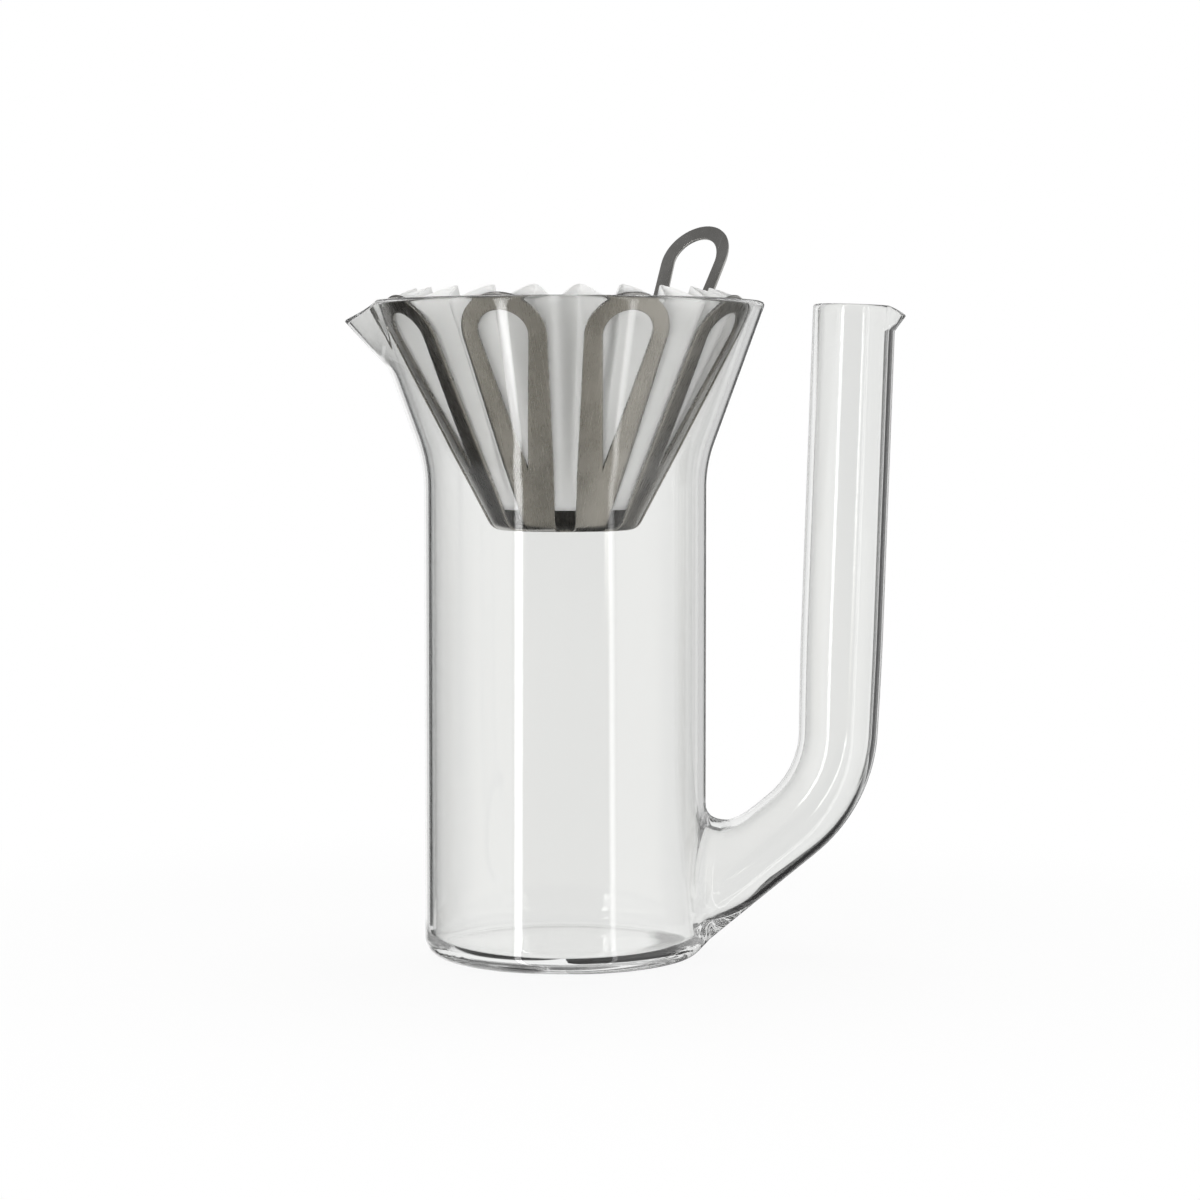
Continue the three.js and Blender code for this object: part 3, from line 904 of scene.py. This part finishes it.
def satin_steel(tree):
    """Stainless sheet: a fine grain along each petal, scattered slanting scratches and a warm mottle."""
    grain = tree.noise(tree.coordinates("UV", GRAIN), detail=4.0)
    slant = tree.node("ShaderNodeMapping", {}, {
        "Vector": tree.node("ShaderNodeTexCoord", output="UV"),
        "Rotation": (0, 0, SCRATCH_SLANT),
        "Scale": SCRATCHES,
    })
    scratches = tree.noise(slant, detail=2.0).ramp(*SCRATCH_LIMITS)
    mottle = tree.noise(tree.coordinates("Object", MOTTLE), detail=6.0, roughness=0.6)
    tone = mottle.ramp(*MOTTLE_LIMITS) * MOTTLE_SHARE + grain * GRAIN_SHARE
    colour = tree.blend(tone, *STEEL_TONES)
    return tree.node("ShaderNodeBsdfPrincipled", {}, {
        "Base Color": tree.blend(scratches * SCRATCH_SHARE, colour, SCRATCH_TONE),
        "Metallic": 1.0,
        "Roughness": STEEL_ROUGHNESS + GRAIN_ROUGHNESS * grain + MOTTLE_ROUGHNESS * mottle,
        "Normal": tree.bump(grain, GRAIN_STRENGTH, GRAIN_HEIGHT),
    })


def filter_paper(tree):
    """White filter paper: cloudy fibres, a fine tooth, and light that comes through it from behind."""
    fibres = tree.noise(tree.coordinates("Object", FIBRES), detail=6.0, roughness=0.7)
    cloud = tree.noise(tree.coordinates("Object", PAPER_CLOUD))
    colour = tree.blend(cloud, *PAPER_TONES)
    tooth = tree.bump(fibres, TOOTH_STRENGTH, TOOTH_HEIGHT)
    face = tree.node("ShaderNodeBsdfPrincipled", {}, {
        "Base Color": colour,
        "Roughness": PAPER_ROUGHNESS + FIBRE_ROUGHNESS * fibres,
        "Normal": tooth,
    })
    through = tree.node("ShaderNodeBsdfTranslucent", {}, {"Color": colour, "Normal": tooth})
    place = tree.node("ShaderNodeTexCoord", output="Object")
    _, _, z = tree.parts("ShaderNodeSeparateXYZ", {"Vector": place})
    share = GLOW_LEAST + GLOW_MORE * z.ramp(*GLOW_HEIGHTS)
    return tree.node("ShaderNodeMixShader", {}, {0: share, 1: face, 2: through})


GLASS = material_of("clear_glass", clear_glass)
STEEL = material_of("satin_steel", satin_steel)
PAPER_WHITE = material_of("filter_paper", filter_paper)


# Pieces

dripper_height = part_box("dripper")[0].z / MM
filter_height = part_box("paper_filter")[0].z / MM + PAPER / 2

glass = make_piece(
    "carafe_glass", glass_grids(), GLASS, "carafe", ("carafe_body", "handle_tube")
)
sheet_grids, sheet_flats = dripper_grids(dripper_height)
dripper = make_piece(
    "petal_dripper", sheet_grids, STEEL, "dripper", ("dripper",), uv=sheet_flats
)
solidify = dripper.modifiers.new("sheet", "SOLIDIFY")
solidify.thickness = SHEET * MM
solidify.offset = -1
bevel = dripper.modifiers.new("edges", "BEVEL")
bevel.width = EDGE_BEVEL * MM
bevel.segments = BEVEL_SEGMENTS
bevel.limit_method = "ANGLE"
bevel.angle_limit = BEVEL_ANGLE
make_piece(
    "fluted_filter", filter_grids(filter_height), PAPER_WHITE, "filter", ("paper_filter",)
)


# Studio


def studio_world():
    """White round the object, with dark flags to its sides that only light through the glass sees.

    Light mirrored once by the glass sees a dark camera side between two strip lights, pale walls, a grey
    ceiling and a bright line behind the left edge. Light mirrored inside the glass sees white above and a
    light table below. Light mirrored by the steel behind the glass sees a warm grey front, lighter to both
    sides, and a dark back. Matte surfaces see an even light.
    """
    world = bpy.data.worlds.new("studio")
    bpy.context.scene.world = world
    tree = Tree(world)
    way = tree.node("ShaderNodeTexCoord", output="Generated")
    x, y, z = tree.parts("ShaderNodeSeparateXYZ", {"Vector": way})
    azimuth = x.math("ARCTAN2", x, 0 - y)
    side = abs(azimuth)
    path = tree.node("ShaderNodeLightPath")
    rays = {o.name: Value(tree, o) for o in path.socket.node.outputs}
    glossy = rays["Is Glossy Ray"]
    inside = 1 - glossy
    bounced = rays["Glossy Depth"].above(ONCE)
    often = rays["Glossy Depth"].above(TWICE)
    known = rays["Is Camera Ray"] + glossy + rays["Is Transmission Ray"]
    matte = known.math("MAXIMUM", 1 - known, rays["Diffuse Depth"].above(ONCE))

    turns = azimuth.math("COSINE", azimuth * SIDE_FLAGS)
    flags = abs(turns + SIDE_FLAG_SHIFT).ramp(*SIDE_FLAG_EDGE) * abs(z).ramp(*SIDE_FLAG_CLIMB)
    flags = flags * (1 - side.ramp(*BACK_ANGLE))
    clear = 1 - SIDE_FLAG_DARKNESS * flags * (1 - rays["Is Camera Ray"])

    left = abs(azimuth + LEFT_STRIP[0] - LEFT_STRIP[1] * z).ramp(*LEFT_STRIP_EDGE)
    right = abs(azimuth - RIGHT_STRIP[0] + RIGHT_STRIP[1] * z).ramp(*RIGHT_STRIP_EDGE)
    strips = LEFT_STRIP_LIGHT * left + RIGHT_STRIP_LIGHT * right
    strips = strips * z.ramp(*STRIP_FOOT) * z.ramp(*STRIP_TOP)
    low = z.ramp(*LOW_CLIMB)
    high = z.ramp(*CEILING_CLIMB)
    far_right = azimuth.ramp(*FAR_RIGHT_END)
    ends = (0 - azimuth).ramp(*WALL_END) + far_right + (azimuth.ramp(*WALL_END) - far_right) * low
    wall = CAMERA_SIDE_LIGHT + WALL_LIGHT * side.ramp(*WALL_ANGLE) - WALL_LIGHT * ends
    wall = wall * (1 - LEFT_SHADE_DARKNESS * low * (0 - x).ramp(*LEFT_SHADE)) + strips
    outside = wall + (CEILING_LIGHT - wall) * high
    outside = outside + (1 - outside) * (0 - azimuth).ramp(*GRAZING_ANGLE) * (1 - high)
    outside = outside + (1 - outside) * z.ramp(*INSIDE_ABOVE) * inside
    outside = outside + (BELOW_LIGHT - outside) * z.ramp(*INSIDE_BELOW) * inside
    light = clear + (outside - clear) * bounced
    light = light + (1 - light) * often * inside

    front = (0 - y).ramp(*STEEL_FRONT)
    facing = STEEL_FRONT_LIGHT + STEEL_LEFT_LIGHT * (0 - x).ramp(*STEEL_LEFT)
    steel = STEEL_BACK_LIGHT + front * facing + STEEL_RIGHT_LIGHT * x.ramp(*STEEL_RIGHT)
    steep = z.ramp(*STEEP_CLIMB) * (1 - front)
    walls = rays["Transmission Depth"].above(THROUGH_WALLS)
    deep = bounced * walls * z.ramp(*STEEL_CLIMB) * (1 - steep)
    light = light + (steel + (STEEL_OFTEN_LIGHT - steel) * often - light) * deep
    light = light + (AMBIENT - light) * matte
    colour = tree.tint(deep, light, STEEL_WARMTH)
    background = tree.node("ShaderNodeBackground", {}, {"Color": colour, "Strength": 1.0})
    tree.node("ShaderNodeOutputWorld", {}, {"Surface": background})


def plane(name, corners, material):
    """A four-cornered flat object, its corners in metres."""
    mesh = bpy.data.meshes.new(name)
    mesh.from_pydata(corners, [], [(0, 1, 2, 3)])
    mesh.materials.append(material)
    made = bpy.data.objects.new(name, mesh)
    bpy.context.scene.collection.objects.link(made)
    return made


def back_card(name, ends, away, heights, light):
    """An upright card behind the object with the light of light(tree), seen only through the glass."""
    left, right = ends
    low, high = heights
    corners = np.array(((left, away, low), (right, away, low), (right, away, high), (left, away, high)))

    def glow(tree):
        return tree.node("ShaderNodeEmission", {}, {"Color": light(tree), "Strength": 1.0})

    card = plane(name, corners * MM, material_of(name, glow))
    for kind in ("camera", "diffuse", "glossy", "shadow", "volume_scatter"):
        setattr(card, "visible_" + kind, False)


def banded_white(tree):
    """White with a dark band to the left, and one to the right that only light mirrored in the glass sees."""
    place = tree.node("ShaderNodeTexCoord", output="Object")
    x, _, z = tree.parts("ShaderNodeSeparateXYZ", {"Vector": place})
    mirrored = tree.node("ShaderNodeLightPath", output="Glossy Depth").above(ONCE)

    soft = BAND_SOFTNESS * MM

    def rise(place):
        return x.ramp(place * MM - soft, place * MM + soft)

    def fall(place):
        return x.ramp(place * MM + soft, place * MM - soft)

    left, right = (rise(first) * fall(last) for first, last in (LEFT_BAND, RIGHT_BAND))
    mirrored_dark = BAND_DARKNESS * right + RIGHT_END_DARKNESS * rise(RIGHT_BAND[1])
    dark = BAND_DARKNESS * left + mirrored_dark * mirrored
    return 1 - dark * z.ramp(BAND_FOOT * MM, BAND_FOOT * MM + soft)


def pale_floor(tree):
    """White that keeps a soft shadow: mostly its own light, and near the object some of the light on it."""
    own = tree.node("ShaderNodeEmission", {}, {"Color": (1, 1, 1, 1), "Strength": 1.0})
    matte = tree.node("ShaderNodeBsdfDiffuse", {}, {"Color": FLOOR_WHITE})
    place = tree.node("ShaderNodeTexCoord", output="Object")
    away = tree.node("ShaderNodeVectorMath", {"operation": "LENGTH"}, {0: place}, output="Value")
    share = FLOOR_SHADOW * away.ramp(*FLOOR_SHADOW_REACH)
    return tree.node("ShaderNodeMixShader", {}, {0: share, 1: own, 2: matte})


def studio_floor():
    """The floor under the object, seen neither in the steel nor through the glass."""
    corners = [(x, y, -FLOOR_DROP * MM) for x, y in FLOOR_CORNERS]
    floor = plane("floor", corners, material_of("pale_floor", pale_floor))
    floor.visible_glossy = False
    floor.visible_transmission = False


def soft_lamp(name, place, aim, size, power):
    """An area lamp aimed at a point, which lights matte surfaces only."""
    data = bpy.data.lights.new(name, "AREA")
    data.shape = "RECTANGLE"
    data.size, data.size_y = size
    data.energy = power
    lamp = bpy.data.objects.new(name, data)
    bpy.context.scene.collection.objects.link(lamp)
    lamp.location = place
    away = lamp.location - Vector(aim)
    lamp.rotation_euler = away.to_track_quat("Z", "Y").to_euler()
    lamp.visible_camera = False
    lamp.visible_glossy = False
    lamp.visible_transmission = False


def photo_camera():
    """The camera where the photograph was taken from."""
    data = bpy.data.cameras.new("camera")
    data.sensor_width = SENSOR_WIDTH
    data.lens = SENSOR_WIDTH * CAMERA_FOCAL_PIXELS / FRAME_PIXELS
    camera = bpy.data.objects.new("camera", data)
    bpy.context.scene.collection.objects.link(camera)
    camera.location = CAMERA_PLACE * MM
    camera.rotation_euler = (np.pi / 2 - CAMERA_PITCH, 0, 0)
    bpy.context.scene.camera = camera


studio_world()
studio_floor()
back_card("panel", PANEL_ENDS, PANEL_AWAY, PANEL_HEIGHTS, banded_white)
back_card("card", CARD_ENDS, CARD_AWAY, CARD_HEIGHTS, lambda tree: CARD_WHITE)
back_card("flag", FLAG_ENDS, FLAG_AWAY, FLAG_HEIGHTS, lambda tree: FLAG_BLACK)
back_card("low_flag", LOW_FLAG_ENDS, FLAG_AWAY, LOW_FLAG_HEIGHTS, lambda tree: FLAG_BLACK)
for lamp_name, (lamp_place, lamp_aim, lamp_size, lamp_power) in LAMPS.items():
    soft_lamp(lamp_name, lamp_place, lamp_aim, lamp_size, lamp_power)
photo_camera()

glass.visible_shadow = False

scene = bpy.context.scene
scene.view_settings.view_transform = "Standard"
scene.cycles.max_bounces = BOUNCES
scene.cycles.transmission_bounces = BOUNCES
scene.cycles.glossy_bounces = BOUNCES
